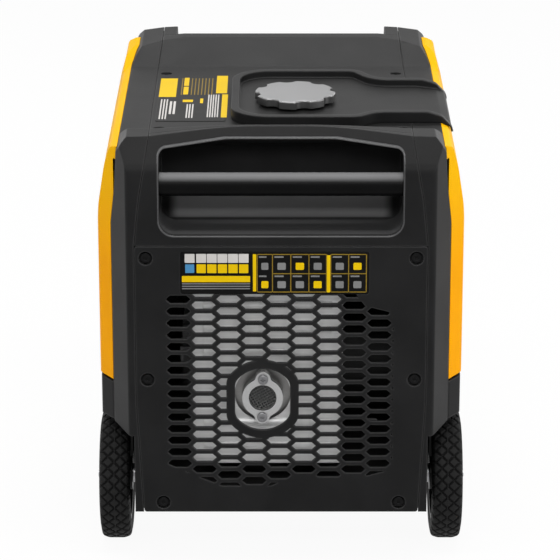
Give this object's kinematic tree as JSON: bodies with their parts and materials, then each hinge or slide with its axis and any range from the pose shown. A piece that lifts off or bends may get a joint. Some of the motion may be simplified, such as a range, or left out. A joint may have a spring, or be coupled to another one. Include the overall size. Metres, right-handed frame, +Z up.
{
  "type": "portable generator",
  "caption": "Closed-case portable inverter generator with a hexagon exhaust grille, lifting bar, pull-out handle, fuel cap and drip tray, standing on wheels and feet.",
  "frame": {"origin": "on the floor under the middle of the overall box", "axes": "+Z up, +Y towards the control end with the pull handle, -Y towards the exhaust grille and wheels, +X to the right when facing the exhaust grille"},
  "size_m": [0.424, 0.53, 0.5108],
  "materials": {
    "case_plastic": "fine textured black plastic",
    "cover_plastic": "glossy yellow-orange plastic",
    "label": "bare satin label plate",
    "screw_steel": "zinc plated steel",
    "black_tube": "black powder-coated steel tube",
    "chassis": "black painted pressed steel",
    "soft_rubber": "black soft rubber",
    "tyre": "solid black tyre rubber",
    "rim_plastic": "black plastic",
    "axle_steel": "zinc plated steel",
    "cap_alloy": "satin cast alloy",
    "exhaust_steel": "bare pressed steel",
    "screen_wire": "dark woven wire",
    "engine_alloy": "cast alloy",
    "engine_black": "black painted steel",
    "rotor_iron": "machined iron",
    "stator_copper": "copper windings on steel",
    "rope": "braided cord",
    "control_grey": "dark grey plastic",
    "display_gloss": "glossy dark window",
    "knob_red": "red plastic",
    "button_green": "green plastic",
    "button_white": "white plastic",
    "brass": "brass"
  },
  "bodies": {
    "housing": {"air_filter_box": "case_plastic", "axle": "axle_steel", "axle_nuts": "axle_steel", "base_tray": "chassis", "carburettor": "engine_alloy", "control_plate": "control_grey", "crankcase": "engine_alloy", "cylinder": "engine_alloy", "display": "display_gloss", "drip_tray": "case_plastic", "engine_mounts": "soft_rubber", "exhaust_flange": "exhaust_steel", "fan_shroud": "case_plastic", "flange_screws": "screw_steel", "foot_pads": "soft_rubber", "front_hood": "case_plastic", "front_legs": "chassis", "front_panel": "case_plastic", "fuel_tank": "case_plastic", "ground_terminal": "brass", "handle_guides": "exhaust_steel", "inverter_module": "engine_alloy", "label_plates": "label", "left_side_cover": "cover_plastic", "left_side_frame": "case_plastic", "muffler": "exhaust_steel", "muffler_shield": "exhaust_steel", "outlet_sockets": "case_plastic", "panel_screws": "screw_steel", "rear_grip_bar": "black_tube", "rear_hood": "case_plastic", "rear_panel": "case_plastic", "right_side_cover": "cover_plastic", "right_side_frame": "case_plastic", "spark_screen": "screen_wire", "stator": "stator_copper", "top_cover": "case_plastic", "top_cover_screws": "screw_steel", "valve_cover": "engine_black"},
    "left_wheel": {"left_rim": "rim_plastic", "left_tyre": "tyre"},
    "right_wheel": {"right_rim": "rim_plastic", "right_tyre": "tyre"},
    "cap_seal": {"cap_gasket": "soft_rubber"},
    "filler_cap": {"fuel_cap": "cap_alloy"},
    "telescopic_handle": {"pull_handle": "black_tube", "handle_sleeve": "soft_rubber"},
    "release_button": {"handle_button": "cover_plastic"},
    "mode_knob": {"engine_switch": "knob_red"},
    "starter_button": {"start_button": "button_green"},
    "eco_rocker": {"eco_switch": "control_grey"},
    "right_lid": {"right_socket_lid": "soft_rubber"},
    "left_lid": {"left_socket_lid": "soft_rubber"},
    "right_reset": {"right_breaker": "button_white"},
    "left_reset": {"left_breaker": "button_white"},
    "starter_grip": {"recoil_grip": "soft_rubber", "recoil_rope": "rope"},
    "starter_reel": {"recoil_reel": "control_grey"},
    "engine_rotor": {"crankshaft": "rotor_iron", "flywheel_rotor": "rotor_iron"}
  },
  "joints": [
    {"name": "left_wheel_spin", "type": "hinge", "parent": "housing", "child": "left_wheel", "pos_m": [-0.19, -0.172, 0.075], "axis": [1, 0, 0], "continuous": true},
    {"name": "right_wheel_spin", "type": "hinge", "parent": "housing", "child": "right_wheel", "pos_m": [0.19, -0.172, 0.075], "axis": [1, 0, 0], "continuous": true},
    {"name": "cap_lift", "type": "slide", "parent": "housing", "child": "cap_seal", "axis": [0, 0, 1], "range_m": [0, 0.006]},
    {"name": "cap_turn", "type": "hinge", "parent": "cap_seal", "child": "filler_cap", "pos_m": [0.0164, -0.06, 0.5], "axis": [0, 0, 1], "range_deg": [0, 540]},
    {"name": "handle_slide", "type": "slide", "parent": "housing", "child": "telescopic_handle", "axis": [0, 1, 0], "range_m": [0, 0.24]},
    {"name": "release_press", "type": "slide", "parent": "telescopic_handle", "child": "release_button", "axis": [0, 0, -1], "range_m": [0, 0.003], "stiffness_N_per_m": 600},
    {"name": "mode_turn", "type": "hinge", "parent": "housing", "child": "mode_knob", "pos_m": [0.084, 0.24, 0.258], "axis": [0, -1, 0], "range_deg": [0, 120]},
    {"name": "start_press", "type": "slide", "parent": "housing", "child": "starter_button", "axis": [0, -1, 0], "range_m": [0, 0.003], "stiffness_N_per_m": 600},
    {"name": "eco_rock", "type": "hinge", "parent": "housing", "child": "eco_rocker", "pos_m": [0.022, 0.234, 0.334], "axis": [-1, 0, 0], "range_deg": [0, 16]},
    {"name": "right_lid_turn", "type": "hinge", "parent": "housing", "child": "right_lid", "pos_m": [-0.04, 0.2428, 0.329], "axis": [1, 0, 0], "range_deg": [0, 110]},
    {"name": "left_lid_turn", "type": "hinge", "parent": "housing", "child": "left_lid", "pos_m": [-0.102, 0.2428, 0.329], "axis": [1, 0, 0], "range_deg": [0, 110]},
    {"name": "right_reset_press", "type": "slide", "parent": "housing", "child": "right_reset", "axis": [0, -1, 0], "range_m": [0, 0.003], "stiffness_N_per_m": 600},
    {"name": "left_reset_press", "type": "slide", "parent": "housing", "child": "left_reset", "axis": [0, -1, 0], "range_m": [0, 0.003], "stiffness_N_per_m": 600},
    {"name": "rope_pull", "type": "slide", "parent": "housing", "child": "starter_grip", "axis": [0, 1, 0], "range_m": [0, 0.6], "stiffness_N_per_m": 25, "deforming": ["recoil_rope"]},
    {"name": "reel_turn", "type": "hinge", "parent": "housing", "child": "starter_reel", "pos_m": [0.122, -0.045, 0.18], "axis": [1, 0, 0], "range_deg": [0, 660]},
    {"name": "rotor_spin", "type": "hinge", "parent": "housing", "child": "engine_rotor", "pos_m": [0.06, -0.045, 0.18], "axis": [1, 0, 0], "continuous": true}
  ],
  "couplings": [
    {"joint": "cap_lift", "follows": "cap_turn", "m_per_rad": 0.00063661},
    {"joint": "reel_turn", "follows": "rope_pull", "rad_per_m": 19.157}
  ]
}
